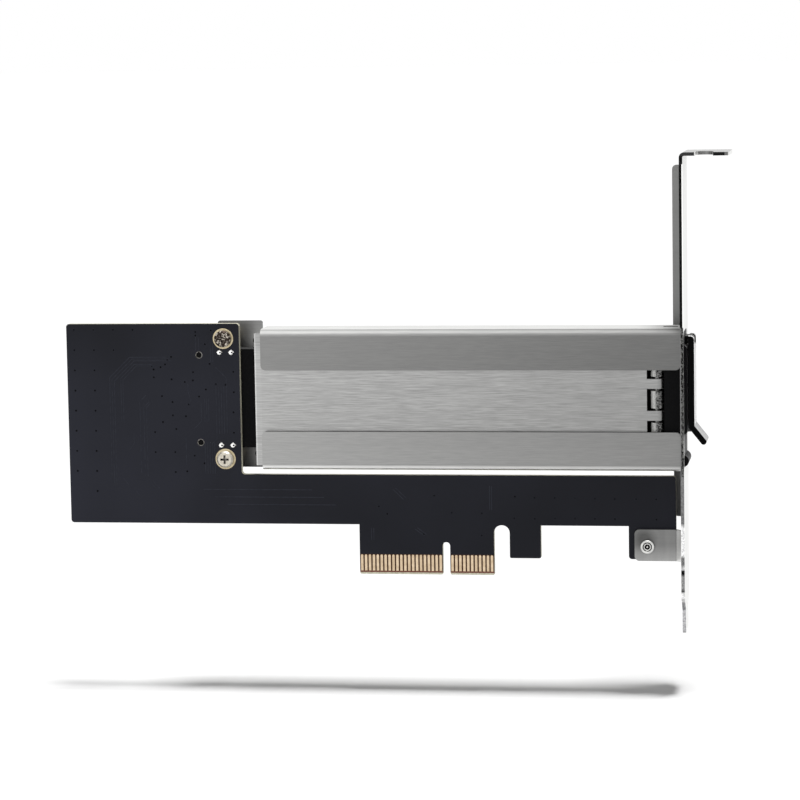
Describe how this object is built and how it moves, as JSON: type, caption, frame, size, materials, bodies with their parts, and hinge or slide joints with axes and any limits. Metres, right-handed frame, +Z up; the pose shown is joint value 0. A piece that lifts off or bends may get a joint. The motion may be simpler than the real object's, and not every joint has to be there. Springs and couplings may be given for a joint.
{
  "type": "nvme adapter card",
  "caption": "Expansion card that holds an M.2 drive in a lidded steel tray, which slides out through a slot bracket by a hinged pull lever.",
  "frame": {"origin": "middle of the key notch at the lower edge of the card, on the board's solder face", "axes": "+X along the card towards the slot bracket, +Z up out of the slot, -Y out of the solder side"},
  "size_m": [0.168, 0.0184, 0.12],
  "materials": {
    "board": "satin blue-black solder mask on glass-fibre board",
    "gold": "gold plating, dulled",
    "brushed_steel": "brushed along the card",
    "brass": "turned brass",
    "screw_steel": "nickel plated",
    "bracket_steel": "nickel-plated sheet",
    "black_steel": "black plated",
    "black_plastic": "fine matt",
    "component_grey": "ferrite",
    "component_tan": "ceramic",
    "pad_grey": "soft silicone pad",
    "black_paint": "satin black powder coat"
  },
  "bodies": {
    "card": {"main_board": "board", "edge_contacts_solder_side": "gold", "edge_contacts_component_side": "gold", "cage": "brushed_steel", "cage_posts": "brass", "screw_pads": "brass", "board_screws": "screw_steel", "bracket": "bracket_steel", "lug_screw_group": "screw_steel", "cage_screws": "black_steel", "drive_socket": "black_plastic", "socket_contacts": "gold", "socket_anchors": "screw_steel", "power_coil": "component_grey", "power_chip": "black_plastic", "capacitors": "component_tan"},
    "tray": {"tray_base": "brushed_steel", "tray_cover": "brushed_steel", "hinge_pin": "screw_steel", "drive_post": "brass", "heat_pad": "pad_grey", "tray_bezel": "black_plastic", "lever_pin": "screw_steel"},
    "lever": {"lever": "black_paint"}
  },
  "joints": [
    {"name": "tray_slide", "type": "slide", "parent": "card", "child": "tray", "axis": [1, 0, 0], "range_m": [0, 0.11]},
    {"name": "lever_hinge", "type": "hinge", "parent": "tray", "child": "lever", "pos_m": [0.06125, 0.0044, 0.05915], "axis": [0, -1, 0], "range_deg": [0, 85]}
  ]
}
